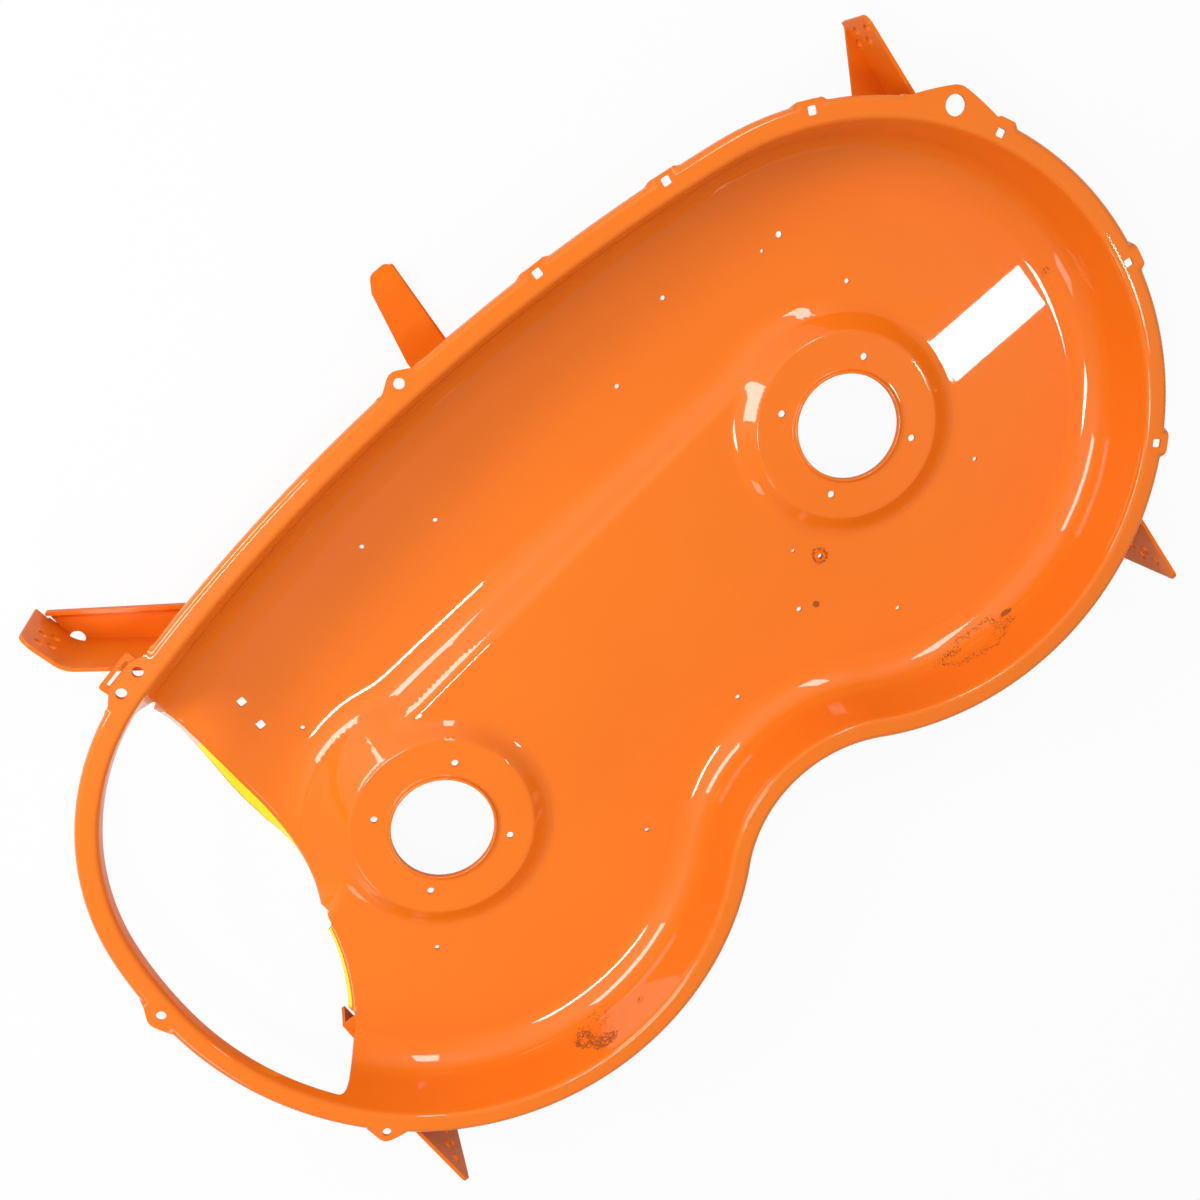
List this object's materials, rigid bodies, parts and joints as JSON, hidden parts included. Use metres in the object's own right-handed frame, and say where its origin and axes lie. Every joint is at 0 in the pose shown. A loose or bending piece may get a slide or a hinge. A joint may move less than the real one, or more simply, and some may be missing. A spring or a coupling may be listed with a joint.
{
  "type": "lawn mower deck",
  "caption": "Stamped steel side-discharge lawn mower deck shell with two spindle seats and welded wheel brackets.",
  "frame": {"origin": "axis of the discharge-side spindle bore, in the chamber face of its pad", "axes": "+X toward the discharge side, -Y toward the tractor's front, +Z out of the blade chamber"},
  "size_m": [1.1329, 0.7471, 0.112],
  "materials": {
    "orange_paint": "gloss paint, scratched and rusty in places",
    "yellow_film": "plain label film"
  },
  "bodies": {
    "root": {"deck_shell": "orange_paint", "discharge_hinge_plate": "orange_paint", "front_hanger": "orange_paint", "plateau_edge_strip": "yellow_film", "tunnel_edge_strip": "yellow_film", "weld_nut": "orange_paint", "wheel_bracket_front_left": "orange_paint", "wheel_bracket_front_right": "orange_paint", "wheel_bracket_rear_left": "orange_paint", "wheel_bracket_rear_right": "orange_paint"}
  },
  "joints": []
}
